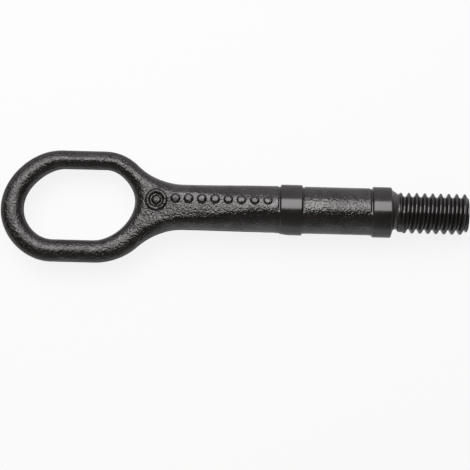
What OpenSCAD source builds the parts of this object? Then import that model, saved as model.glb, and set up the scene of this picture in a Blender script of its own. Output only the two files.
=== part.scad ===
// Screw-in tow eye, forged in one piece and turned at its front end.
// The shank lies along X with the thread at +X. The eye lies flat in XY.
// The origin is on the shank's axis, at the shoulder where the thread section starts.

/* [Eye] */
// Outer radius of the eye's rounded ends
eye_r = 24.75; // [22:0.05:27]
// Radius of the opening's rounded ends
opening_r = 15.7; // [12:0.1:16.5]
// Straight length of each long side, on the outside
eye_straight = 18.8; // [8:0.2:30]
// Straight length of each long side of the opening
opening_straight = 17.4; // [8:0.1:20]
// Share of the radius that the two far corners of the eye lie inside a true round
eye_cut = 0.015; // [0:0.001:0.04]
// Share of the radius that the opening's four corners lie inside a true round
opening_cut = 0.02; // [0:0.001:0.04]
// From the shoulder back to the middle of the eye
eye_reach = 138.2; // [125:0.1:170]
// Opening moved from the middle of the eye towards the shank
opening_ahead = 0.5; // [0:0.1:2]
// Thickness of the eye at its crown
eye_t = 9.6; // [7:0.1:13]
// Outer outline moved sideways from the opening
eye_shift = 0.8; // [0:0.1:2]
// Lean of the outer outline, per mm of height
eye_lean = 0.066; // [0:0.005:0.12]
// Lean of the opening, per mm of height
opening_lean = 0.15; // [0:0.005:0.2]
// Reach of the rounding along the outer edge
edge_round = 5.3; // [4:0.1:7]
// Reach of the rounding along the opening
opening_round = 4.7; // [3:0.1:5.5]
// Height of the trimmed edge where the two dies met
land_t = 1.2; // [0.4:0.1:3]

/* [Web and shank] */
// Radius of the fillet from the eye into the shank, on the +Y side
upper_flare_r = 32; // [16:0.5:40]
// Radius of the fillet from the eye into the shank, on the -Y side
lower_flare_r = 27.5; // [16:0.5:40]
// Width of the shank behind the eye
shank_w = 20.1; // [16:0.1:21]
// Diameter of the round shank at the collars
shank_d = 20.7; // [16:0.1:21.4]
// Thickness of the shank where its top is flat
flat_t = 17.4; // [14:0.1:20]
// From the shoulder back to the thickest end of the web
web_end = 90; // [84:1:96]
// From the shoulder back to where the flat has run out
flat_end = 54; // [52:1:70]
// Depth of the hollow between the two arms
web_dish = 0.3; // [0:0.1:2]

/* [Guide collars] */
// Diameter of both turned collars
collar_d = 22.3; // [21.5:0.1:26]
// Length of the front collar, ending at the shoulder
front_collar_l = 8.2; // [5:0.1:12]
// Length of the rear collar
rear_collar_l = 9.2; // [5:0.1:12]
// Length of the shank between the collars
collar_gap = 31.4; // [20:0.1:34]
// Chamfer on the collars' edges
collar_chamfer = 0.4; // [0.1:0.1:0.5]

/* [Thread] */
// Outer diameter of the left-hand thread
thread_d = 18; // [16:0.1:20]
// Pitch of the thread
thread_pitch = 3.5; // [2:0.1:4]
// From the shoulder to the end of the thread
thread_end = 33.1; // [20:0.1:40]
// Width of the thread's crest
crest_w = 0.6; // [0.2:0.05:1]
// Width of the thread's root
root_w = 0.8; // [0.3:0.05:1.2]
// Axial position of one crest along the +Y side
crest_x = 3.7; // [0:0.1:4]
// Length of the cone from the shoulder down to the neck
cone_l = 2.2; // [1:0.1:4]
// Length of the neck before the thread
neck_l = 0.8; // [0.4:0.1:3]
// Depth of the neck below the thread's root
neck_relief = 0.25; // [0.1:0.05:0.6]
// Length of the lead at the thread's start
start_lead = 1.2; // [0.8:0.1:3]
// Length of the lead at the thread's end
end_lead = 1.3; // [0.6:0.1:4]

/* [Hidden] */

// Steps along each stretch of the eye's outline, per quarter where it is an arc
flare_steps = 5;
arc_steps = 5;
straight_steps = 4;
end_steps = 12;
// Cells across the eye's bar, across the shank and along the shank
bar_cells = 12;
shank_cells = 20;
shank_columns = 14;
// Columns round the thread
thread_columns = 36;
// Segments in a full turn of the round parts
$fn = 72;

steel = [0.16, 0.16, 0.16];

collar_r = collar_d / 2;
thread_r = thread_d / 2;
rear_front_x = -front_collar_l - collar_gap;
rear_back_x = rear_front_x - rear_collar_l;
half_straight = eye_straight / 2;
eye_c = [-eye_reach, -eye_shift];
opening_half = opening_straight / 2;
opening_c = [opening_ahead - eye_reach, 0];
opening_end_x = opening_c.x + opening_half + opening_r;
// Angle on the opening that the middle of the web spans to each side
web_angle = 36;
// The eye's grid meets the shank's grid here, and the forging ends inside the rear collar
join_x = -web_end - 10;
// The lean fades out from here to the join
lean_end_x = eye_c.x + half_straight;
forging_end_x = (rear_front_x + rear_back_x) / 2;

function mix(a, b, t) = a + (b - a) * t;
function smooth(x, a, b) =
    let (t = min(1, max(0, (x - a) / (b - a))))
    t * t * (3 - 2 * t);
function cosine_step(i, n) = (1 - cos(180 * i / n)) / 2;

// Fillet between the eye's end arc and the shank: side is 1 above the axis, -1 below
function flare_r(side) = side > 0 ? upper_flare_r : lower_flare_r;
function flare_rise(side) = shank_w / 2 + flare_r(side) - side * eye_c.y;
function flare_run(side) = sqrt(pow(eye_r + flare_r(side), 2) - pow(flare_rise(side), 2));
function flare_c(side) =
    [eye_c.x + half_straight + flare_run(side), side * (shank_w / 2 + flare_r(side))];
function touch_angle(side) = atan2(flare_rise(side), flare_run(side));

// Radii with the corners cut, and the lean that fades out along the fillets
function cut_r(r, cut, angle) = r * (1 - cut * pow(sin(2 * angle), 2));
function lean_at(x) = eye_lean * (1 - smooth(x, lean_end_x, join_x));
function opening_slant(x) = opening_lean - lean_at(x);

// Points of the outlines: end is 1 at the shank's end of the eye, -1 at the far end
function eye_point(angle, end) =
    let (r = end < 0 ? cut_r(eye_r, eye_cut, angle) : eye_r)
    eye_c + [end * half_straight + r * cos(angle), r * sin(angle)];
function opening_point(angle, end) =
    let (r = cut_r(opening_r, opening_cut, angle),
         p = opening_c + [end * opening_half + r * cos(angle), r * sin(angle)],
         near_x = p.x + opening_slant(p.x) * p.y)
    [p.x + opening_slant(near_x) * p.y, p.y];
function flare_point(side, t) =
    let (c = flare_c(side),
         turn = mix(asin((c.x - join_x) / flare_r(side)), 90 - touch_angle(side), t))
    c - flare_r(side) * [sin(turn), side * cos(turn)];
function shank_half(x) = mix(shank_w, shank_d, smooth(x, -web_end, -flat_end)) / 2;
function shank_edge(x, side) =
    let (c = flare_c(side))
    x < c.x ? c.y - side * sqrt(pow(flare_r(side), 2) - pow(c.x - x, 2)) : side * shank_half(x);

// Distance of a point of the forging from the opening and from the outer outline
function opening_gap(p) =
    let (q = p - opening_c,
         along = max(0, abs(q.x - opening_slant(p.x) * q.y) - opening_half))
    norm([along, q.y]) - cut_r(opening_r, opening_cut, atan2(q.y, along));
function eye_gap(p) =
    let (q = p - eye_c,
         along = max(0, abs(q.x) - half_straight))
    cut_r(eye_r, q.x < 0 ? eye_cut : 0, atan2(q.y, along)) - norm([along, q.y]);
function side_gap(p, side) =
    let (c = flare_c(side),
         v = c - eye_c - [half_straight, 0],
         q = p - eye_c - [half_straight, 0])
    p.x > c.x ? shank_half(p.x) - side * p.y
        : side * (v.x * q.y - v.y * q.x) < 0 ? norm(p - c) - flare_r(side)
        : eye_gap(p);
function outer_gap(p) = min(side_gap(p, 1), side_gap(p, -1));

// Height of the forging above its parting plane
function rounding(gap, reach) =
    let (u = min(1, max(0, 1 - gap / reach)))
    sqrt(1 - u * u);
function crown(x) =
    mix(mix(eye_t, flat_t, smooth(x, opening_end_x - opening_round, -web_end)),
        shank_d, smooth(x, -web_end, -flat_end)) / 2;
function edge_reach(x) = mix(edge_round, shank_half(x), smooth(x, -web_end, -flat_end));
function dish(p, gap_out, gap_in) =
    web_dish * smooth(min(gap_out - edge_round, gap_in - opening_round), 0, 4)
    * (1 - smooth(p.x, join_x - 2, -web_end + 4));
function height(p) =
    let (gap_out = outer_gap(p), gap_in = opening_gap(p))
    land_t / 2 + (crown(p.x) - land_t / 2)
        * rounding(gap_out, edge_reach(p.x)) * rounding(gap_in, opening_round)
    - dish(p, gap_out, gap_in);

// Stations round the eye, each a pair of a point on the opening and one on the outside
function half_stations(side) =
    let (touch = touch_angle(side))
    concat(
        [for (i = [0:flare_steps - 1])
            [opening_point(side * mix(web_angle, touch, i / flare_steps), 1),
             flare_point(side, i / flare_steps)]],
        [for (i = [0:arc_steps - 1])
            let (angle = side * mix(touch, 90, i / arc_steps))
            [opening_point(angle, 1), eye_point(angle, 1)]],
        [for (i = [0:straight_steps - 1])
            let (end = 1 - 2 * i / straight_steps)
            [opening_point(side * 90, end), eye_point(side * 90, end)]],
        [for (i = [0:end_steps])
            let (angle = side * mix(90, 180, i / end_steps))
            [opening_point(angle, -1), eye_point(angle, -1)]]);
upper_stations = half_stations(1);
lower_stations = half_stations(-1);
web_stations =
    [for (i = [1:shank_cells - 1])
        [opening_point(mix(-web_angle, web_angle, i / shank_cells), 1),
         [join_x, mix(shank_edge(join_x, -1), shank_edge(join_x, 1), cosine_step(i, shank_cells))]]];
stations = concat(
    upper_stations,
    [for (i = [len(lower_stations) - 2:-1:0]) lower_stations[i]],
    web_stations);
station_count = len(stations);
// First station of the web's line, at the lower corner
corner = station_count - len(web_stations) - 1;

// Plan points of the eye, then of the shank
eye_plan = [for (s = stations) for (j = [0:bar_cells]) mix(s[0], s[1], cosine_step(j, bar_cells))];
shank_plan =
    [for (i = [1:shank_columns])
        let (x = mix(join_x, forging_end_x, i / shank_columns))
        for (j = [0:shank_cells])
            [x, mix(shank_edge(x, -1), shank_edge(x, 1), cosine_step(j, shank_cells))]];
plan = concat(eye_plan, shank_plan);
plan_count = len(plan);

function eye_index(k, j) = (k % station_count) * (bar_cells + 1) + j;
function shank_index(i, j) =
    i == 0 ? eye_index(corner + j, bar_cells)
        : len(eye_plan) + (i - 1) * (shank_cells + 1) + j;
function two_triangles(a, b, c, d) = [[a, b, c], [a, c, d]];

// One face of the forging, then the edges between its upper and lower points
surface_faces = concat(
    [for (k = [0:station_count - 1]) for (j = [0:bar_cells - 1])
        each two_triangles(eye_index(k, j), eye_index(k + 1, j),
                           eye_index(k + 1, j + 1), eye_index(k, j + 1))],
    [for (i = [0:shank_columns - 1]) for (j = [0:shank_cells - 1])
        each two_triangles(shank_index(i, j), shank_index(i, j + 1),
                           shank_index(i + 1, j + 1), shank_index(i + 1, j))]);
edge_pairs = concat(
    [for (k = [0:station_count - 1]) [eye_index(k + 1, 0), eye_index(k, 0)]],
    [for (k = [0:corner - 1]) [eye_index(k, bar_cells), eye_index(k + 1, bar_cells)]],
    [for (i = [0:shank_columns - 1]) [shank_index(i, 0), shank_index(i + 1, 0)]],
    [for (i = [0:shank_columns - 1])
        [shank_index(i + 1, shank_cells), shank_index(i, shank_cells)]],
    [for (j = [0:shank_cells - 1])
        [shank_index(shank_columns, j), shank_index(shank_columns, j + 1)]]);

function leaned(p, z) = [p.x + lean_at(p.x) * p.y, p.y, z];

module forging() {
    polyhedron(
        points = concat(
            [for (p = plan) leaned(p, height(p))],
            [for (p = plan) leaned(p, -height(p))]),
        faces = concat(
            surface_faces,
            [for (f = surface_faces) [f[2] + plan_count, f[1] + plan_count, f[0] + plan_count]],
            [for (e = edge_pairs)
                each two_triangles(e[0], e[1], e[1] + plan_count, e[0] + plan_count)]),
        convexity = 6);
}

// Thread form: straight flanks at 30 degrees, cut by a cylinder at the crest
flank_depth = (thread_pitch - crest_w - root_w) / 2 / tan(30);
root_r = thread_r - flank_depth;
ridge_r = thread_r + crest_w / 2 / tan(30);
neck_r = root_r - neck_relief;
neck_x = cone_l + neck_l;

module turned_shank() {
    foot = (collar_r - shank_d / 2) / 2;
    rotate([0, 90, 0])
        rotate_extrude()
            polygon([
                [0, rear_back_x],
                [collar_r - collar_chamfer, rear_back_x],
                [collar_r, rear_back_x + collar_chamfer],
                [collar_r, rear_front_x - collar_chamfer],
                [collar_r - collar_chamfer, rear_front_x],
                [shank_d / 2 + foot / 3, rear_front_x + foot / 3],
                [shank_d / 2, rear_front_x + foot],
                [shank_d / 2, -front_collar_l - foot],
                [shank_d / 2 + foot / 3, -front_collar_l - foot / 3],
                [collar_r - collar_chamfer, -front_collar_l],
                [collar_r, -front_collar_l + collar_chamfer],
                [collar_r, 0],
                [collar_r - collar_chamfer, collar_chamfer],
                [neck_r + 0.3, cone_l],
                [neck_r, cone_l + 0.3],
                [neck_r, neck_x + thread_pitch / 4],
                [0, neck_x + thread_pitch / 4]]);
}

// Ridge that winds left-handed about +X, one pitch for each turn
module helical_ridge() {
    corners = [[0, ridge_r],
               [(thread_pitch - root_w) / 2, root_r],
               [(thread_pitch + root_w) / 2, root_r]];
    turns = ceil((thread_end - neck_x) / thread_pitch) + 2;
    rows = turns * len(corners);
    start_x = crest_x - thread_pitch * ceil((crest_x - neck_x) / thread_pitch + 1);
    last = (thread_columns + 1) * (rows + 1);
    function ridge_index(i, m) =
        i < thread_columns ? i * (rows + 1) + m
            : m + len(corners) <= rows ? m + len(corners)
            : thread_columns * (rows + 1) + m;
    points = [for (i = [0:thread_columns]) for (m = [0:rows])
        let (corner_now = corners[m % len(corners)],
             x = start_x + corner_now[0]
                 + thread_pitch * (floor(m / len(corners)) + i / thread_columns),
             angle = -360 * i / thread_columns)
        [x, corner_now[1] * cos(angle), corner_now[1] * sin(angle)]];
    polyhedron(
        points = concat(points, [[start_x, 0, 0], [start_x + thread_pitch * (turns + 1), 0, 0]]),
        faces = concat(
            [for (i = [0:thread_columns - 1]) for (m = [0:rows - 1])
                each two_triangles(ridge_index(i, m), ridge_index(i + 1, m),
                                   ridge_index(i + 1, m + 1), ridge_index(i, m + 1))],
            [for (i = [0:thread_columns - 1])
                [last, ridge_index(i + 1, 0), ridge_index(i, 0)]],
            [for (m = [0:len(corners) - 1]) [last, ridge_index(0, m), ridge_index(0, m + 1)]],
            [for (i = [0:thread_columns - 1])
                [last + 1, ridge_index(i, rows), ridge_index(i + 1, rows)]],
            [for (m = [rows - len(corners):rows - 1])
                [last + 1, ridge_index(thread_columns, m + 1), ridge_index(thread_columns, m)]]),
        convexity = 10);
}

module thread() {
    intersection() {
        helical_ridge();
        rotate([0, 90, 0])
            rotate_extrude()
                polygon([
                    [0, neck_x],
                    [root_r + 0.2, neck_x],
                    [thread_r, neck_x + start_lead],
                    [thread_r, thread_end - end_lead],
                    [root_r + 0.5, thread_end - end_lead * 0.2],
                    [root_r - 0.3, thread_end],
                    [0, thread_end]]);
    }
}

module tow_eye() {
    color(steel)
        union() {
            forging();
            turned_shank();
            thread();
        }
}

tow_eye();
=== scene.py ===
# %% [markdown]
# # A forged tow eye, photographed from above
# The object is a screw-in tow eye: one piece of steel, hammered to shape between two dies, then
# turned and threaded at its front end and coated black. It lies flat with its shank along X.
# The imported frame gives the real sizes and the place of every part, so nothing is fitted by eye.

# %% Load the frame
import math

import bpy
import numpy as np
from mathutils import Matrix, Vector, noise


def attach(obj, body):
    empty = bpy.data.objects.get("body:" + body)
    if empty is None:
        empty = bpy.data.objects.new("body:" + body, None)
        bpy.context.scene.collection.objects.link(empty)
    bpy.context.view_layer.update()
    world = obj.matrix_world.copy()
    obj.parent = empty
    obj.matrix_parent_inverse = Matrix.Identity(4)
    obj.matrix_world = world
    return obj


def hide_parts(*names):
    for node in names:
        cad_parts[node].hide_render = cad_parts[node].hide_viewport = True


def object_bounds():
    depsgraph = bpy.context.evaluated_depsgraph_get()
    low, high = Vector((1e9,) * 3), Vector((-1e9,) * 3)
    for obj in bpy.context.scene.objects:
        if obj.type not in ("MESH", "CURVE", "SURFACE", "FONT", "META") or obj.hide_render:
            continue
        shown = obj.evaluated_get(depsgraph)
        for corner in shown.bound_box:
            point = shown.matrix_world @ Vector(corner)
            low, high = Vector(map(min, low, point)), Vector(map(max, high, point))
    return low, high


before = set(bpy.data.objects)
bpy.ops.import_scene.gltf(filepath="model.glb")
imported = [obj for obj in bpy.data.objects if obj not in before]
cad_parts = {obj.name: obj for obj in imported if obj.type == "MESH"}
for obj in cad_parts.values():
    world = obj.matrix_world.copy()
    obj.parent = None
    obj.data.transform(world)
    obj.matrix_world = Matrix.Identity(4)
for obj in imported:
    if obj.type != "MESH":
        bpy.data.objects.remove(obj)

MM = 0.001
cad_box = [list(corner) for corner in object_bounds()]
print("frame box in mm:", [[round(v / MM, 2) for v in corner] for corner in cad_box])

# %% [markdown]
# ## What is forged
# The eye, the web behind it and the shank came out of two dies that met at the middle plane.
# They could be sculpted by hand or remeshed from rough blocks. Here each point of the surface
# comes from a formula instead: a flat outline made of arcs, and a height above it. That keeps the
# section smooth all the way round, and one grid covers everything without a seam.

# %% Sizes of the forging, in millimetres from the shoulder
eye_radius = 24.75
eye_half = 9.4
eye_cut = 0.015
eye_middle = np.array([-138.2, -0.8])
eye_lean = 0.066
opening_radius = 15.7
opening_half = 8.7
opening_cut = 0.02
upper_cuts = (0.03, 0.048)
opening_middle = np.array([-137.7, 0.0])
opening_lean = 0.15
upper_flare, lower_flare = 32.0, 27.5
shank_width = 20.1
shank_diameter = 20.7
web_end = -90.0
flat_end = -54.0
join_x = -100.0
lean_end = eye_middle[0] + eye_half


# %% Helpers for soft steps and angles
def mix(a, b, t):
    """A value between a and b."""
    return a + (b - a) * t


def smooth(x, low, high):
    """Rises from 0 at low to 1 at high, with soft ends."""
    t = np.clip((x - low) / (high - low), 0.0, 1.0)
    return t * t * (3.0 - 2.0 * t)


def circle(angle):
    """A unit vector at that angle, in degrees."""
    return np.array([math.cos(math.radians(angle)), math.sin(math.radians(angle))])


# %% Outline of the eye and its opening
def lean_at(x):
    """Sideways lean of the forging, per millimetre of y. It fades out along the fillets."""
    return eye_lean * (1.0 - smooth(x, lean_end, join_x))


def cut_radius(radius, cut, angle):
    """A radius that is a little shorter towards the corners. The angle is in radians."""
    return radius * (1.0 - cut * np.sin(2.0 * angle) ** 2)


def eye_point(angle, end):
    """A point on the eye's outline, at an angle round its far end (-1) or its near end (1)."""
    radius = cut_radius(eye_radius, eye_cut if end < 0 else 0.0, math.radians(angle))
    return eye_middle + np.array([end * eye_half, 0.0]) + radius * circle(angle)


def opening_point(angle, end):
    """The same on the opening's outline, whose upper corners are cut a little more."""
    cut = opening_cut if angle < 0 else upper_cuts[int(end > 0)]
    radius = cut_radius(opening_radius, cut, math.radians(angle))
    start = opening_middle + np.array([end * opening_half, 0.0]) + radius * circle(angle)
    x = start[0]
    for _ in range(3):
        x = start[0] + (opening_lean - lean_at(x)) * start[1]
    return np.array([x, start[1]])


# %% Fillets into the shank
def flare(side):
    """Centre and radius of the fillet on that side, and the angle where it touches the eye."""
    radius = upper_flare if side > 0 else lower_flare
    rise = shank_width / 2 + radius - side * eye_middle[1]
    run = math.sqrt((eye_radius + radius) ** 2 - rise ** 2)
    centre = np.array([eye_middle[0] + eye_half + run, side * (shank_width / 2 + radius)])
    return centre, radius, math.degrees(math.atan2(rise, run))


def flare_point(side, t):
    """A point on that side's fillet, from the shank's grid (0) to the eye (1)."""
    centre, radius, touch = flare(side)
    start = math.degrees(math.asin((centre[0] - join_x) / radius))
    turn = math.radians(mix(start, 90.0 - touch, t))
    return centre - radius * np.array([math.sin(turn), side * math.cos(turn)])


def shank_half(x):
    """Half width of the forged shank in plan."""
    return mix(shank_width, shank_diameter, smooth(x, web_end, flat_end)) / 2


def shank_edge(x, side):
    """Half outline of the shank, with the fillet behind the eye."""
    centre, radius, _ = flare(side)
    if x < centre[0]:
        return centre[1] - side * math.sqrt(radius ** 2 - (centre[0] - x) ** 2)
    return side * float(shank_half(x))


# %% [markdown]
# The height uses two distances, to the outer outline and to the opening. Close to an edge the
# surface drops in an ellipse, as a round bar does. Between the two arms behind the opening the dies
# left a shallow hollow. Further along the top is almost flat, with a slight crown, before the shank
# becomes round.

# %% Distances from the edges
def opening_gap(p):
    """Distance of plan points from the opening's edge, larger outwards."""
    q = p - opening_middle
    across = q[:, 0] - (opening_lean - lean_at(p[:, 0])) * q[:, 1]
    along = np.maximum(0.0, np.abs(across) - opening_half)
    cut = np.where(q[:, 1] < 0, opening_cut, np.where(across > 0, upper_cuts[1], upper_cuts[0]))
    return np.hypot(along, q[:, 1]) - cut_radius(opening_radius, cut, np.arctan2(q[:, 1], along))


def side_gap(p, side):
    """Distance of plan points from the outer outline on that side, larger inwards."""
    centre, radius, _ = flare(side)
    bend = eye_middle + np.array([eye_half, 0.0])
    v = centre - bend
    q = p - bend
    past_touch = side * (v[0] * q[:, 1] - v[1] * q[:, 0]) < 0
    from_middle = p - eye_middle
    along = np.maximum(0.0, np.abs(from_middle[:, 0]) - eye_half)
    cut = np.where(from_middle[:, 0] < 0, eye_cut, 0.0)
    rim = cut_radius(eye_radius, cut, np.arctan2(from_middle[:, 1], along))
    eye_gap = rim - np.hypot(along, from_middle[:, 1])
    flare_gap = np.hypot(p[:, 0] - centre[0], p[:, 1] - centre[1]) - radius
    shank_gap = shank_half(p[:, 0]) - side * p[:, 1]
    return np.where(p[:, 0] > centre[0], shank_gap, np.where(past_touch, flare_gap, eye_gap))


# %% Height of the surface above the middle plane
eye_thickness = 9.6
flat_thickness = 17.4
edge_round = 5.3
opening_round = 4.7
land_half = 0.6
trim_step = 0.15
web_dish = 0.3
flat_crown = 0.013
crown_y = 1.5
crown_limit = 40.0


def rounding(gap, reach):
    """Share of the full height at a distance from an edge: a quarter of an ellipse."""
    u = np.clip(1.0 - gap / reach, 0.0, 1.0)
    return np.sqrt(1.0 - u * u)


def height(p):
    """Height of the forging at plan points p, an array of x and y."""
    x = p[:, 0]
    outer = np.minimum(side_gap(p, 1), side_gap(p, -1)) - trim_step
    inner = opening_gap(p) - trim_step
    to_flat = smooth(x, opening_middle[0] + opening_half + opening_radius - opening_round, web_end)
    to_round = smooth(x, web_end, flat_end)
    crown = mix(mix(eye_thickness, flat_thickness, to_flat), shank_diameter, to_round) / 2
    reach = mix(edge_round, shank_half(x), to_round)
    dish = web_dish * smooth(np.minimum(outer - edge_round, inner - opening_round), 0.0, 4.0)
    dish = dish * (1.0 - smooth(x, join_x - 2.0, web_end + 4.0))
    from_crown = np.minimum((p[:, 1] - crown_y) ** 2, crown_limit)
    dish = dish + flat_crown * to_flat * (1.0 - to_round) * from_crown
    share = rounding(outer, reach) * rounding(inner, opening_round)
    return land_half + (crown - land_half) * share - dish


# %% [markdown]
# ## The grid of the eye
# Stations run round the opening like spokes, each from the opening to the outside. The spokes that
# point at the shank end on a straight line instead, where the shank's own grid takes over. The
# steps across a bar are closer at its edges, because the surface turns fastest there.

# %% Stations round the eye
bar_cells = 32
shank_cells = 64
web_angle = 36.0


def half_stations(side):
    """Pairs of an inner and an outer point, from the shank's corner round to the far end."""
    _, _, touch = flare(side)
    pairs = []
    for t in np.linspace(0, 1, 26, endpoint=False):
        pairs.append((opening_point(side * mix(web_angle, touch, t), 1), flare_point(side, t)))
    for t in np.linspace(0, 1, 24, endpoint=False):
        angle = side * mix(touch, 90.0, t)
        pairs.append((opening_point(angle, 1), eye_point(angle, 1)))
    for end in np.linspace(1, -1, 30, endpoint=False):
        pairs.append((opening_point(side * 90.0, end), eye_point(side * 90.0, end)))
    for angle in np.linspace(90, 180, 61):
        pairs.append((opening_point(side * angle, -1), eye_point(side * angle, -1)))
    return pairs


def cosine_steps(count):
    """Steps from 0 to 1 that are closer at both ends."""
    return (1.0 - np.cos(np.pi * np.arange(count + 1) / count)) / 2


upper = half_stations(1)
lower = half_stations(-1)
low_edge, high_edge = shank_edge(join_x, -1), shank_edge(join_x, 1)
web_line = [(opening_point(mix(-web_angle, web_angle, i / shank_cells), 1),
             np.array([join_x, mix(low_edge, high_edge, cosine_steps(shank_cells)[i])]))
            for i in range(1, shank_cells)]
stations = upper + lower[-2::-1] + web_line
corner = len(upper) + len(lower) - 2
print("stations round the eye:", len(stations), "of which along the web:", len(web_line))

# %% [markdown]
# Each vertex also carries a weight that says how much of the hammered skin it wears, and each face
# a finish: forged, turned, threaded or the cone's. A small builder collects all of this, and one mesh
# is made from it.

# %% A builder for one closed surface
FORGED, TURNED, THREADED, CONE = 0, 1, 2, 3


class Surface:
    """Collects points, the weight of forged skin on each, and faces with their finish."""

    def __init__(self):
        self.points = []
        self.skin = []
        self.faces = []
        self.finishes = []

    def add(self, points, skin=1.0):
        """Adds points, in millimetres, and returns their numbers."""
        first = len(self.points)
        self.points.extend(np.asarray(points, dtype=float).tolist())
        self.skin.extend(np.broadcast_to(skin, len(points)).tolist())
        return list(range(first, len(self.points)))

    def strip(self, row_a, row_b, finish=FORGED, closed=False):
        """Joins two rows of equal length with a row of four-sided faces."""
        count = len(row_a)
        for i in range(count if closed else count - 1):
            j = (i + 1) % count
            self.faces.append((row_a[i], row_a[j], row_b[j], row_b[i]))
            self.finishes.append(finish)


def leaned(p, z):
    """Plan points with their heights, moved sideways by the forging's lean."""
    return np.column_stack([p[:, 0] + lean_at(p[:, 0]) * p[:, 1], p[:, 1], z])


# %% Points of the eye
surface = Surface()
land_z = np.array([0.9, 0.0, -0.9]) * land_half
flash_step = 0.05
bar_steps = cosine_steps(bar_cells)
loops = []
for number, (inside, outside) in enumerate(stations):
    on_web = number > corner
    length = np.linalg.norm(outside - inside)
    low = trim_step / length
    high = 1.0 if on_web else 1.0 - trim_step / length
    plan = mix(inside, outside, mix(low, high, bar_steps)[:, None])
    rise = height(plan)
    top = surface.add(leaned(plan, rise))
    bottom = surface.add(leaned(plan, -rise))
    rim = surface.add(leaned(np.repeat(inside[None], 3, 0), land_z), 0.5)
    flash_line = mix(outside, inside, flash_step / length)
    flash = [] if on_web else surface.add(leaned(np.repeat(flash_line[None], 3, 0), land_z), 0.0)
    loops.append((top, bottom, rim, flash))
print("points on the eye:", len(surface.points))

# %% Faces of the eye
for number, (top, bottom, rim, flash) in enumerate(loops):
    next_top, next_bottom, next_rim, next_flash = loops[(number + 1) % len(loops)]
    surface.strip(top, next_top)
    surface.strip(next_bottom, bottom)
    surface.strip([bottom[0]] + rim[::-1] + [top[0]], [next_bottom[0]] + next_rim[::-1] + [next_top[0]])
    if number < corner:
        surface.strip([top[-1]] + flash + [bottom[-1]],
                      [next_top[-1]] + next_flash + [next_bottom[-1]])
print("faces on the eye:", len(surface.faces))

# %% [markdown]
# ## The shank, as one tube
# From the web on, the surface is a tube: rows of points round the X axis. The first rows follow the
# forged outline and turn into a circle. On the -Y side the raw blank swells towards the rear collar.
# After that a row needs only its place and its radius, so the turned collars are a lathe profile,
# written as rows of place and radius.

# %% Angles round the shank
land_angle = math.degrees(math.asin(land_half * 2 / shank_diameter))
top_angles = np.linspace(180.0 - land_angle, land_angle, shank_cells + 1)
wall_angles = land_angle * np.array([0.9, 0.0, -0.9])
ring_angles = np.concatenate([top_angles, wall_angles, -top_angles[::-1], wall_angles - 180.0])
ring_cos = np.cos(np.radians(ring_angles))
ring_sin = np.sin(np.radians(ring_angles))
print("points round the shank:", len(ring_angles))


# %% Rows of the forged shank
def forged_section(x):
    """Points of the forged shank round the axis at x: y and z in the order of ring_angles."""
    low, high = shank_edge(x, -1), shank_edge(x, 1)
    y = mix(low + trim_step, high - trim_step, cosine_steps(shank_cells))
    plan = np.column_stack([np.full(len(y), x), y])
    z = height(plan)
    y_all = np.concatenate([y, np.full(3, high - flash_step), y[::-1], np.full(3, low + flash_step)])
    z_all = np.concatenate([z, land_z, -z[::-1], -land_z])
    return y_all, z_all


first_row = ([loops[(corner + j) % len(stations)][0][-1] for j in range(shank_cells + 1)]
             + loops[0][3]
             + [loops[(corner + j) % len(stations)][1][-1] for j in range(shank_cells, -1, -1)]
             + loops[corner][3][::-1])
collar_radius = cad_box[1][2] / MM
shank_radius = shank_diameter / 2
rear_back, rear_front = -49.1, -39.6
front_back = -8.8
raw_from, raw_to = -52.6, -44.6
raw_share = smooth(-ring_cos, 0.3, 0.95)
round_over = 3.0
off_axis = 0.12

previous = first_row
forged_rows = np.linspace(join_x, rear_back - 1.6, 106)[1:]
for x in forged_rows:
    y, z = forged_section(x)
    to_round = smooth(x, flat_end - round_over, flat_end + round_over)
    radius = mix(shank_radius, collar_radius, smooth(x, raw_from, raw_to) * raw_share)
    y = mix(y, radius * ring_cos, to_round)
    y = y + off_axis * smooth(x, web_end, flat_end)
    z = mix(z, radius * ring_sin, to_round)
    row = surface.add(np.column_stack([np.full(len(y), x), y, z]))
    surface.strip(previous, row, closed=True)
    previous = row
print("rows on the forged shank:", len(forged_rows))

# %% [markdown]
# The lathe left two guide collars with small chamfers. They could be two cylinders stuck on the
# shank, but their edges would then cut through its faces. As rows of the same tube they stay part of
# one skin. At their feet the tool cut a narrow groove into the forged skin, which shows as a dark line.

# %% Profile of the turned collars
groove = 0.24


def collar_back(x):
    """From the forged skin up to a collar's back edge: place, radius, skin, finish."""
    return [
        (x - 1.5, shank_radius, 1.0, FORGED),
        (x - 1.15, shank_radius + 0.02, 0.8, FORGED),
        (x - 0.95, shank_radius - groove * 0.4, 0.4, FORGED),
        (x - 0.75, shank_radius - groove, 0.1, TURNED),
        (x - 0.3, shank_radius - groove, 0.0, TURNED),
        (x - 0.14, shank_radius + 0.1, 0.0, TURNED),
        (x + 0.02, shank_radius + 0.45, 0.0, TURNED),
        (x + 0.14, collar_radius - 0.14, 0.0, TURNED),
        (x + 0.26, collar_radius - 0.04, 0.0, TURNED),
        (x + 0.45, collar_radius, 0.0, TURNED)]


def mirrored(rows, x_from, x_to):
    """The same rows in reverse order, turned round to face the other way."""
    return [(x_to - (x - x_from), radius, skin, finish) for x, radius, skin, finish in rows[::-1]]


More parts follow.
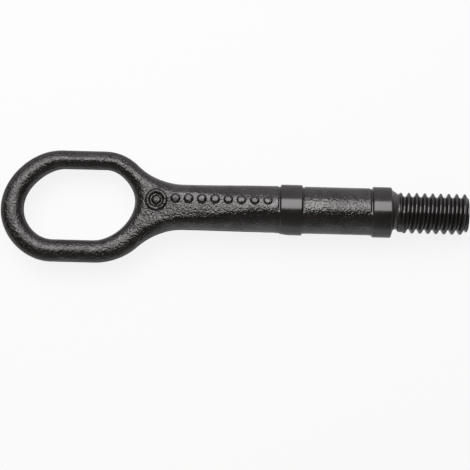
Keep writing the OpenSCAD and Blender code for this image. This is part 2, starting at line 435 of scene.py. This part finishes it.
rear_rise = collar_back(rear_back)
front_rise = collar_back(front_back)
rear_fall = mirrored(rear_rise, rear_back, rear_front)
plain_rear = [(x, collar_radius, 0.0, TURNED)
              for x in np.linspace(rear_back + 0.5, rear_front - 0.5, 9)[1:-1]]
plain_front = [(x, collar_radius, 0.0, TURNED) for x in (front_back + 2.5, -3.4, -1.2, -0.95)]
middle = [(x, shank_radius, 1.0, FORGED)
          for x in np.linspace(rear_front + 1.5, front_back - 1.5, 66)[1:-1]]
profile = rear_rise + plain_rear + rear_fall + middle + front_rise + plain_front
print("rows on the lathe profile:", len(profile))

# %% [markdown]
# The forging was not quite on the lathe's axis. On one side the back of the rear collar still shows
# the raw, slanting shape of the blank, because the tool only reached it further on. The grooves run
# out on that side too, and where they do the tool left a small burr, which catches the light. Each
# burr is a small hill, given by its place along the shank, its angle round it and its height.

# %% Rows of the lathe profile
groove_share = smooth(ring_cos, -0.3, 0.05)
burrs = [(rear_back - 0.5, 103.0, 0.42),
         (rear_front + 0.5, 105.0, 0.5),
         (front_back - 0.5, 104.0, 0.42)]
burr_length = 0.4
burr_angle = 3.4


def burr_heights(place):
    """Height of the burrs on the row at that place, in the order of ring_angles."""
    heights = np.zeros(len(ring_angles))
    for burr_place, angle, burr in burrs:
        along = math.exp(-((place - burr_place) / burr_length) ** 2)
        heights += burr * along * np.exp(-((ring_angles - angle) / burr_angle) ** 2)
    return heights


for place, radius, skin, finish in profile:
    slant = mix(shank_radius, collar_radius, float(smooth(place, raw_from, raw_to)))
    radii = mix(radius, slant, raw_share * float(place < raw_to))
    if radius < shank_radius:
        radii = mix(shank_radius, radii, groove_share)
    radii = radii + burr_heights(place)
    y = radii * ring_cos + off_axis * skin
    row = surface.add(np.column_stack([np.full(len(y), place), y, radii * ring_sin]), skin)
    surface.strip(previous, row, finish, closed=True)
    previous = row
print("points so far:", len(surface.points))

# %% [markdown]
# In front of the second collar a cone runs down to the neck, where the thread starts. A true cone has
# one radius all round. This one is fuller towards +Y than towards -Y, so each row has a place and two
# radii, and the points round it blend from one to the other.

# %% Rows of the cone
neck_radius = 8.2
thread_start = 2.4
cone = [
    (-0.75, collar_radius - 0.06, collar_radius - 0.06),
    (-0.65, collar_radius - 0.2, collar_radius - 0.2),
    (-0.45, collar_radius - 0.65, collar_radius - 0.7),
    (-0.2, collar_radius - 1.15, collar_radius - 1.5),
    (0.1, collar_radius - 1.45, collar_radius - 2.6),
    (0.4, collar_radius - 1.65, collar_radius - 3.3),
    (0.8, 9.27, 7.5),
    (1.2, 9.0, 7.3),
    (1.6, 8.73, 7.3),
    (1.95, 8.5, 7.4),
    (2.2, 8.33, 7.75),
    (thread_start, neck_radius, neck_radius)]
towards_back = smooth(ring_cos, -1.0, 0.6)
for place, high, low in cone:
    radii = mix(low, high, towards_back)
    points = np.column_stack([np.full(len(radii), place), radii * ring_cos, radii * ring_sin])
    row = surface.add(points, 0.0)
    surface.strip(previous, row, CONE, closed=True)
    previous = row
print("length of the cone and neck in mm:", round(cone[-1][0] - cone[0][0], 2))

# %% [markdown]
# ## The left-hand thread
# A thread can be made with a Screw modifier, but then its ends are cut off square. Here the rows of
# the grid wind round the axis with the thread, so the crest and the root each follow a row and stay
# crisp. Rows that would run past an end are held there, and the points that fall together are merged.
# The thread is left-handed: as it turns clockwise, seen from the thread's end, it goes in.

# %% Thread form
thread_radius = 9.0
pitch = 3.5
crest_width = 0.6
root_width = 0.8
crest_place = 3.7
thread_end = 33.1
flank_depth = (pitch - crest_width - root_width) / 2 / math.tan(math.radians(30))
root_radius = thread_radius - flank_depth
phases = np.array([0.0, 0.035, 0.07, 0.11, 0.19, 0.27, 0.35, 0.40, 0.44, 0.5,
                   0.56, 0.60, 0.65, 0.73, 0.81, 0.89, 0.93, 0.965])


def soft_min(a, b, width):
    """The smaller of a and b, with the corner between them rounded."""
    blend = np.clip(0.5 + 0.5 * (b - a) / width, 0.0, 1.0)
    return mix(b, a, blend) - width * blend * (1.0 - blend)


def thread_form(phase):
    """Radius at a phase of the pitch, where 0 is the middle of the crest."""
    from_crest = np.abs(phase - np.round(phase)) * pitch
    flank = thread_radius - (from_crest - crest_width / 2) / math.tan(math.radians(30))
    crest = soft_min(flank, thread_radius, 0.25)
    return -soft_min(-crest, -root_radius, 0.35)


def lead(x):
    """Cone that limits the thread at its start and its end."""
    places = [thread_start, 2.7, 3.15, 4.0, thread_end - 1.3, thread_end - 0.25, thread_end]
    radii = [neck_radius, 8.25, 8.8, thread_radius, thread_radius, root_radius + 0.45, root_radius + 0.1]
    return np.interp(x, places, radii)


print("thread radius in mm:", thread_radius, "radius of its root:", round(root_radius, 2))

# %% Points of the thread
shallow_radius = 8.6
cut_from, cut_to = 3.4, 4.7
turn_share = (180.0 - ring_angles) / 360.0
first_crest = crest_place - 1.5 * pitch
turns = math.ceil((thread_end - first_crest) / pitch) + 1
rows = []
for number in range(turns * len(phases) + 1):
    phase = number // len(phases) + phases[number % len(phases)]
    x = first_crest + pitch * (phase + turn_share)
    groove_place = first_crest + pitch * (math.floor(phase) + 0.5 + turn_share)
    fading = mix(shallow_radius - root_radius, 0.0, smooth(groove_place, cut_from, cut_to))
    radius = soft_min(np.maximum(thread_form(phase), root_radius + fading), lead(x), 0.12)
    radius = np.where(x <= thread_start, neck_radius, radius)
    radius = np.where(x >= thread_end, root_radius + 0.1, radius)
    held = np.clip(x, thread_start, thread_end)
    rows.append(surface.add(np.column_stack([held, radius * ring_cos, radius * ring_sin]), 0.0))
print("turns of thread:", round((thread_end - thread_start) / pitch, 1), "pitch in mm:", pitch)

# %% Faces of the thread
surface.strip(previous, rows[0], THREADED, closed=True)
one_turn = len(phases)
for number in range(len(rows) - 1):
    row, next_row = rows[number], rows[number + 1]
    surface.strip(row, next_row, THREADED)
    if number + one_turn + 1 < len(rows):
        ahead, next_ahead = rows[number + one_turn], rows[number + one_turn + 1]
        surface.strip([row[-1], ahead[0]], [next_row[-1], next_ahead[0]], THREADED)

# %% Flat end of the thread
previous = rows[-1]
for radius in (root_radius - 0.6, 4.0, 2.0):
    points = np.column_stack([np.full(len(ring_cos), thread_end), radius * ring_cos, radius * ring_sin])
    row = surface.add(points, 0.0)
    surface.strip(previous, row, TURNED, closed=True)
    previous = row
centre = surface.add([[thread_end, 0.0, 0.0]], 0.0)[0]
for i in range(len(previous)):
    surface.faces.append((previous[i], previous[(i + 1) % len(previous)], centre))
    surface.finishes.append(TURNED)
print("faces in all:", len(surface.faces))

# %% [markdown]
# ## From rows to one mesh
# Rows that were held at an end are merged, and the faces are turned to point outwards. A forging is
# never smooth: scale pressed between steel and die leaves low, wandering dents. They could be only a
# bump in the material, but then they would not show on the outline, so the larger ones move the
# points themselves, and the finest grain is left to the material.

# %% Make the mesh
import bmesh

mesh = bpy.data.meshes.new("forged_tow_eye")
mesh.from_pydata([Vector(p) * MM for p in surface.points], [], surface.faces)
mesh.polygons.foreach_set("material_index", surface.finishes)
skin_layer = mesh.attributes.new("forged_skin", "FLOAT", "POINT")
skin_layer.data.foreach_set("value", surface.skin)
shell = bmesh.new()
shell.from_mesh(mesh)
bmesh.ops.remove_doubles(shell, verts=shell.verts, dist=0.006 * MM)
bmesh.ops.dissolve_degenerate(shell, edges=shell.edges, dist=0.002 * MM)
bmesh.ops.recalc_face_normals(shell, faces=shell.faces)
open_edges = sum(not edge.is_manifold for edge in shell.edges)
shell.to_mesh(mesh)
print("vertices:", len(shell.verts), "faces:", len(shell.faces), "open edges:", open_edges,
      "volume in mm3:", round(shell.calc_volume() / MM ** 3))
shell.free()

# %% Dents of the forged skin
wide_dents, wide_spacing = 0.05, 4.0
fine_dents, fine_spacing = 0.022, (1.9, 1.6, 1.6)


def dent(point):
    """Height of the hammered skin over the smooth one, at a point in millimetres."""
    wide = noise.noise(Vector(point) / wide_spacing)
    fine = noise.noise(Vector([place / spacing for place, spacing in zip(point, fine_spacing)]))
    return wide_dents * wide + fine_dents * (0.45 - abs(fine))


weights = [item.value for item in mesh.attributes["forged_skin"].data]
normals = [vertex.normal.copy() for vertex in mesh.vertices]
for vertex, weight, normal in zip(mesh.vertices, weights, normals):
    if weight > 0:
        vertex.co += normal * (weight * dent(vertex.co / MM) * MM)
mesh.polygons.foreach_set("use_smooth", [True] * len(mesh.polygons))
mesh.update()
print("dented vertices:", sum(weight > 0 for weight in weights))

# %% [markdown]
# ## Raised marks
# Such forgings carry raised marks from the die. This part has plain ones: a ring with a dot in it on
# the web, and a row of dots along the flat. They could be cut into the big mesh, which would need a
# far finer grid there. Instead each is a small closed plug that follows the surface under it and is
# sunk a little, so it meets the skin with a soft foot.


# %% A point above the skin
def skin_point(x, y, lift):
    """A point above the upper skin at plan place x, y, leaned with the forging."""
    plan = np.array([[x, y]])
    place = Vector(leaned(plan, height(plan))[0])
    return (place + Vector((0.0, 0.0, dent(place) + lift))) * MM


# %% Round plugs that follow the skin
def raised(name, centres, profile, sides, hollow=False):
    """One mesh of round plugs. The profile lists radius and lift from the middle outwards."""
    plug = bmesh.new()
    for cx, cy in centres:
        rings = []
        for radius, lift in profile:
            ring = []
            for i in range(sides):
                direction = circle(360.0 * i / sides)
                x = cx + radius * direction[0]
                y = cy + radius * direction[1]
                ring.append(plug.verts.new(skin_point(x, y, lift)))
            rings.append(ring)
        loops_closed = list(zip(rings, rings[1:]))
        if hollow:
            loops_closed.append((rings[-1], rings[0]))
        for ring, outer in loops_closed:
            for i in range(sides):
                j = (i + 1) % sides
                plug.faces.new((ring[i], ring[j], outer[j], outer[i]))
        if not hollow:
            plug.faces.new(rings[0])
            plug.faces.new(rings[-1][::-1])
    bmesh.ops.recalc_face_normals(plug, faces=plug.faces)
    data = bpy.data.meshes.new(name)
    plug.to_mesh(data)
    plug.free()
    data.polygons.foreach_set("use_smooth", [True] * len(data.polygons))
    piece = bpy.data.objects.new(name, data)
    bpy.context.collection.objects.link(piece)
    print(name, "plugs:", len(centres), "faces:", len(data.polygons))
    return piece


# %% The ring and the dots
mark_top = 0.85
mark_foot = -0.6
dot_profile = [
    (0.25, mark_top), (1.0, mark_top - 0.015), (1.35, mark_top - 0.06), (1.6, mark_top - 0.2),
    (1.78, 0.42), (1.94, 0.2), (2.14, 0.04), (2.35, -0.04), (2.35, mark_foot)]
ring_profile = [
    (2.55, mark_foot), (2.55, -0.04), (2.74, 0.04), (2.92, 0.2), (3.08, 0.42), (3.26, mark_top - 0.2),
    (3.5, mark_top - 0.05), (3.85, mark_top), (4.2, mark_top - 0.05), (4.44, mark_top - 0.2),
    (4.62, 0.42), (4.78, 0.2), (4.96, 0.04), (5.15, -0.04), (5.15, mark_foot)]
ring_place = (-103.5, 2.3)
dots_from, dots_to, dots_y = -95.0, -54.6, 2.95
row_of_dots = [(x, dots_y) for x in np.linspace(dots_from, dots_to, 8)]
marks = [raised("raised_ring", [ring_place], ring_profile, 72, hollow=True),
         raised("raised_dots", [ring_place] + row_of_dots, dot_profile, 32)]

# %% [markdown]
# ## The black coat
# The steel is blackened: a thin hard film that shines like dark glass, with the metal's own texture
# under it. It could be a black paint, but paint turns almost white at the rim, and this film stays
# dark there, as a dark metal does. So it is a metal that reflects only a twelfth of the light. The
# forged skin is covered in tiny hills, which break its reflections into specks. Towards the middle
# of the shank it was rubbed smoother. Turned steel keeps the lathe's rings, and its film is even.


# %% A node helper
def add_node(tree, kind, **settings):
    """Adds a node, sets its inputs and options by name, and returns it."""
    node = tree.nodes.new(kind)
    for key, value in settings.items():
        if key in node.inputs:
            node.inputs[key].default_value = value
        else:
            setattr(node, key, value)
    return node


def black_coat(name, roughness, metallic=0.97):
    """A black film over steel. Returns the material, its tree, its shader and a place node."""
    coat = bpy.data.materials.new(name)
    coat.use_nodes = True
    tree = coat.node_tree
    shader = tree.nodes["Principled BSDF"]
    shader.inputs["Metallic"].default_value = metallic
    shader.inputs["Specular Tint"].default_value = (0.82, 0.8, 0.8, 1.0)
    shader.inputs["Roughness"].default_value = roughness
    place = add_node(tree, "ShaderNodeTexCoord")
    return coat, tree, shader, place


# %% Helpers for patterns, bumps and tints
def pattern(tree, place, kind, scale, **settings):
    """A texture on the object's own coordinates, with its size in repeats per metre."""
    texture = add_node(tree, kind, Scale=scale, **settings)
    tree.links.new(place.outputs["Object"], texture.inputs["Vector"])
    return texture


def bump(tree, source, distance, strength, below=None):
    """A bump of that height in millimetres, on top of the one below."""
    node = add_node(tree, "ShaderNodeBump", Distance=distance * MM, Strength=strength)
    tree.links.new(source, node.inputs["Height"])
    if below:
        tree.links.new(below.outputs["Normal"], node.inputs["Normal"])
    return node


def ramp(tree, source, low, high, out_low, out_high):
    """Maps a value from one range to another."""
    node = add_node(tree, "ShaderNodeMapRange")
    for socket, value in zip(list(node.inputs)[1:5], (low, high, out_low, out_high)):
        socket.default_value = value
    tree.links.new(source, node.inputs[0])
    return node


def tint(tree, shader, source, dark, light, span=(0.3, 0.75)):
    """Colours the film between two near blacks, over that span of the source."""
    colours = add_node(tree, "ShaderNodeValToRGB")
    colours.color_ramp.elements[0].color = (*dark, 1.0)
    colours.color_ramp.elements[1].color = (*light, 1.0)
    colours.color_ramp.elements[0].position = span[0]
    colours.color_ramp.elements[1].position = span[1]
    tree.links.new(source, colours.inputs["Fac"])
    tree.links.new(colours.outputs["Color"], shader.inputs["Base Color"])


# %% Colour of the forged coat
forged_coat, tree, shader, place = black_coat("black_coat_forged", 0.24, 0.985)
clouds = pattern(tree, place, "ShaderNodeTexNoise", 160.0, Detail=4.0)
grain = pattern(tree, place, "ShaderNodeTexNoise", 1500.0, Detail=2.0, Roughness=0.6)
pebbles = pattern(tree, place, "ShaderNodeTexNoise", 1150.0, Detail=1.0, Distortion=0.6)
split = add_node(tree, "ShaderNodeSeparateXYZ")
tree.links.new(place.outputs["Object"], split.inputs["Vector"])
mottle = add_node(tree, "ShaderNodeMix", Factor=0.6)
tree.links.new(clouds.outputs["Fac"], mottle.inputs["A"])
tree.links.new(grain.outputs["Fac"], mottle.inputs["B"])
rubbed = ramp(tree, split.outputs["X"], -0.1, -0.05, 0.0, 0.07)
fleck = add_node(tree, "ShaderNodeMath", operation="ADD")
tree.links.new(mottle.outputs["Result"], fleck.inputs[0])
tree.links.new(rubbed.outputs["Result"], fleck.inputs[1])
near_black, dark_grey = (0.046, 0.045, 0.0446), (0.124, 0.1212, 0.1204)
tint(tree, shader, fleck.outputs["Value"], near_black, dark_grey, (0.35, 0.71))

# %% Shine and hills of the forged coat
scale_left = ramp(tree, split.outputs["X"], -0.115, -0.06, 0.09, 0.0)
dull = ramp(tree, grain.outputs["Fac"], 0.3, 0.7, 0.06, 0.17)
rough = add_node(tree, "ShaderNodeMath", operation="ADD")
tree.links.new(dull.outputs["Result"], rough.inputs[0])
tree.links.new(scale_left.outputs["Result"], rough.inputs[1])
tree.links.new(rough.outputs["Value"], shader.inputs["Roughness"])
calm = ramp(tree, split.outputs["X"], -0.1, -0.085, 1.0, 0.72)
hills = add_node(tree, "ShaderNodeMath", operation="MULTIPLY")
tree.links.new(pebbles.outputs["Fac"], hills.inputs[0])
tree.links.new(calm.outputs["Result"], hills.inputs[1])
pebbly = bump(tree, hills.outputs["Value"], 0.31, 1.0)
grainy = bump(tree, grain.outputs["Fac"], 0.04, 1.0, pebbly)
tree.links.new(grainy.outputs["Normal"], shader.inputs["Normal"])

# %% Coat on turned steel
turned_coat, tree, shader, place = black_coat("black_coat_turned", 0.2)
clouds = pattern(tree, place, "ShaderNodeTexNoise", 240.0, Detail=3.0)
tint(tree, shader, clouds.outputs["Fac"], (0.078, 0.0762, 0.0757), (0.092, 0.0899, 0.0893))
rings = pattern(tree, place, "ShaderNodeTexWave", 900.0, Distortion=0.6, Detail=1.0)
nibs = pattern(tree, place, "ShaderNodeTexNoise", 700.0, Detail=1.0)
nib = ramp(tree, nibs.outputs["Fac"], 0.74, 0.82, 0.0, 1.0)
dull = ramp(tree, clouds.outputs["Fac"], 0.3, 0.7, 0.15, 0.24)
tree.links.new(dull.outputs["Result"], shader.inputs["Roughness"])
ringed = bump(tree, rings.outputs["Fac"], 0.004, 0.5)
nibbed = bump(tree, nib.outputs["Result"], 0.05, 0.6, ringed)
tree.links.new(nibbed.outputs["Normal"], shader.inputs["Normal"])

# %% Coat on the thread
thread_coat, tree, shader, place = black_coat("black_coat_thread", 0.24, 0.9)
clouds = pattern(tree, place, "ShaderNodeTexNoise", 300.0, Detail=3.0)
scuffs = pattern(tree, place, "ShaderNodeTexNoise", 1100.0, Detail=2.0)
tint(tree, shader, clouds.outputs["Fac"], (0.074, 0.0723, 0.0718), (0.1, 0.0977, 0.0971))
dull = ramp(tree, scuffs.outputs["Fac"], 0.3, 0.7, 0.14, 0.24)
tree.links.new(dull.outputs["Result"], shader.inputs["Roughness"])
scuffed = bump(tree, scuffs.outputs["Fac"], 0.012, 0.4)
tree.links.new(scuffed.outputs["Normal"], shader.inputs["Normal"])

# %% Coat on the cone, which the tool left rougher, with its film painted lighter against the neck's shade
cone_coat_painted_lighter, tree, shader, place = black_coat("black_coat_cone_painted_lighter", 0.3, 0.8)
clouds = pattern(tree, place, "ShaderNodeTexNoise", 300.0, Detail=3.0)
# Painted light: this film is lighter and less metallic than the turned coat. It acts as a painted
# reflection on the cone and lifts the shade in the neck.
tint(tree, shader, clouds.outputs["Fac"], (0.105, 0.1026, 0.102), (0.13, 0.127, 0.1262))
turning = pattern(tree, place, "ShaderNodeTexWave", 900.0, Distortion=0.8, Detail=1.0)
turned = bump(tree, turning.outputs["Fac"], 0.008, 0.6)
tree.links.new(turned.outputs["Normal"], shader.inputs["Normal"])

# %% Dress the part
for coat in (forged_coat, turned_coat, thread_coat, cone_coat_painted_lighter):
    mesh.materials.append(coat)
tow_eye = bpy.data.objects.new("forged_tow_eye", mesh)
bpy.context.collection.objects.link(tow_eye)
for mark in marks:
    mark.data.materials.append(forged_coat)
for piece in [tow_eye] + marks:
    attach(piece, "root")
    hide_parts("tow_eye")
print("pieces:", [piece.name for piece in [tow_eye] + marks])

# %% [markdown]
# ## The studio
# The part lies on a pale floor. A wide softbox hangs over it, a little behind, and gives the sharp
# light band along every round form. A second, smaller one lies inside it and makes its middle
# brighter. The room is darkest high up in front of the part and brighter behind it.

# %% Floor
floor_z = cad_box[0][2] - 0.02 * MM
floor_half = 2.0
corners = [(-1, -1), (1, -1), (1, 1), (-1, 1)]
floor_data = bpy.data.meshes.new("floor")
floor_points = [(floor_half * x, floor_half * y, floor_z) for x, y in corners]
floor_data.from_pydata(floor_points, [], [(0, 1, 2, 3)])
floor = bpy.data.objects.new("floor", floor_data)
bpy.context.collection.objects.link(floor)
print("floor height in mm:", round(floor_z / MM, 2))

# %% Paper of the floor
paper = bpy.data.materials.new("pale_paper")
paper.use_nodes = True
tree = paper.node_tree
shader = tree.nodes["Principled BSDF"]
shader.inputs["Roughness"].default_value = 0.9
shader.inputs["Specular IOR Level"].default_value = 0.2
place = add_node(tree, "ShaderNodeTexCoord")
fibres = pattern(tree, place, "ShaderNodeTexNoise", 4.0, Detail=2.0)
tint(tree, shader, fibres.outputs["Fac"], (0.86, 0.86, 0.86), (0.87, 0.87, 0.87))
floor_data.materials.append(paper)

# %% [markdown]
# A real white table in a photo is lit until it turns white, and more light would drown the part. So
# the paper keeps its plain colour for the light that it throws back. Where it is only looked at, it
# is mostly plain white, and a share of the paper under it keeps the soft shadow. The part's own
# reflections see a slightly darker white.

# %% White where the floor is looked at
white_share = 0.86
reflected_white = 0.7
white = add_node(tree, "ShaderNodeEmission")
seen = add_node(tree, "ShaderNodeLightPath")
direct = add_node(tree, "ShaderNodeMath", operation="MAXIMUM")
all_seen = add_node(tree, "ShaderNodeMath", operation="MAXIMUM")
part_white = add_node(tree, "ShaderNodeMath", operation="MULTIPLY")
part_white.inputs[1].default_value = white_share
blend = add_node(tree, "ShaderNodeMixShader")
tree.links.new(seen.outputs["Is Camera Ray"], direct.inputs[0])
tree.links.new(seen.outputs["Is Transmission Ray"], direct.inputs[1])
tree.links.new(direct.outputs[0], all_seen.inputs[0])
tree.links.new(seen.outputs["Is Glossy Ray"], all_seen.inputs[1])
tree.links.new(all_seen.outputs[0], part_white.inputs[0])
tree.links.new(part_white.outputs[0], blend.inputs["Fac"])
level = ramp(tree, seen.outputs["Is Glossy Ray"], 0.0, 1.0, 1.0, reflected_white)
tree.links.new(level.outputs["Result"], white.inputs["Strength"])
tree.links.new(shader.outputs["BSDF"], blend.inputs[1])
tree.links.new(white.outputs["Emission"], blend.inputs[2])
tree.links.new(blend.outputs["Shader"], tree.nodes["Material Output"].inputs["Surface"])
print("share of plain white in the floor:", white_share)

# %% Softbox
softbox_height = 0.6
softbox_x = -0.068
softbox_radiance = 3.2


def tangent(angle):
    """Distance from straight above, at the softbox's height, for that angle in degrees."""
    return softbox_height * math.tan(math.radians(angle))


def lamp(name, along_y, along_x, radiance):
    """A rectangular lamp that covers those angles from straight up, along Y and along X."""
    data = bpy.data.lights.new(name, "AREA")
    data.shape = "RECTANGLE"
    data.size = tangent(along_x[1]) - tangent(along_x[0])
    data.size_y = tangent(along_y[1]) - tangent(along_y[0])
    data.energy = radiance * math.pi * data.size * data.size_y
    box = bpy.data.objects.new(name, data)
    box.location = (softbox_x + (tangent(along_x[0]) + tangent(along_x[1])) / 2,
                    (tangent(along_y[0]) + tangent(along_y[1])) / 2, softbox_height)
    box.visible_camera = False
    bpy.context.collection.objects.link(box)
    print(name, "metres:", round(data.size, 3), round(data.size_y, 3), "watts:", round(data.energy, 2))


lamp("softbox", (0.5, 44.0), (-39.0, 20.0), 0.98 * softbox_radiance)
lamp("softbox_core", (8.0, 36.0), (-34.0, -6.0), 0.5 * softbox_radiance)

# %% Room light
world = bpy.data.worlds.new("room")
bpy.context.scene.world = world
world.use_nodes = True
tree = world.node_tree
background = tree.nodes["Background"]
place = add_node(tree, "ShaderNodeTexCoord")
split = add_node(tree, "ShaderNodeSeparateXYZ")
tree.links.new(place.outputs["Generated"], split.inputs["Vector"])
room = add_node(tree, "ShaderNodeValToRGB")
cool, warm, rosy = (1.0, 1.0, 1.0), (1.12, 1.0, 0.88), (1.05, 0.98, 1.0)
levels = [
    (0.0, 0.46, cool), (0.01, 0.33, cool), (0.03, 0.25, cool), (0.067, 0.2, cool),
    (0.15, 0.16, warm), (0.25, 0.13, warm), (0.38, 0.105, warm), (0.5, 0.105, warm),
    (0.75, 0.35, rosy), (0.93, 0.58, rosy), (1.0, 0.62, rosy)]
while len(room.color_ramp.elements) < len(levels):
    room.color_ramp.elements.new(0.5)
for element, (position, level, hue) in zip(room.color_ramp.elements, levels):
    element.position = position
    element.color = (level * hue[0], level * hue[1], level * hue[2], 1.0)
from_front = ramp(tree, split.outputs["Y"], -1.0, 1.0, 0.0, 1.0)
tree.links.new(from_front.outputs["Result"], room.inputs["Fac"])
tree.links.new(room.outputs["Color"], background.inputs["Color"])
print("levels of the room light:", len(levels))

# %% [markdown]
# ## The camera
# The photo was taken from almost straight above, from a little under seventy centimetres. Wide
# circles such as the collars' rims bulge away from the middle, which gives that distance. The bands
# of light show that the camera leaned six degrees towards -Y, and the shank runs slightly down to
# the right.

# %% Camera
camera_lean = math.radians(6.0)
camera_roll = math.radians(1.6)
camera_side = math.radians(1.0)
camera_distance = 0.68
target = Vector((-68.74, -11.66, 0.0)) * MM
back = Vector((math.tan(camera_side), -math.tan(camera_lean), 1.0)).normalized()
level_right = Vector((0.0, 1.0, 0.0)).cross(back).normalized()
right = math.cos(camera_roll) * level_right + math.sin(camera_roll) * back.cross(level_right)
up = back.cross(right)
camera_data = bpy.data.cameras.new("camera")
camera_data.lens = 118.5
camera_data.sensor_width = 36.0
camera_data.clip_end = 10.0
camera = bpy.data.objects.new("camera", camera_data)
axes = Matrix((right, up, back)).transposed()
camera.matrix_world = Matrix.Translation(target + back * camera_distance) @ axes.to_4x4()
bpy.context.collection.objects.link(camera)
bpy.context.scene.camera = camera
bpy.context.scene.view_settings.view_transform = "Standard"
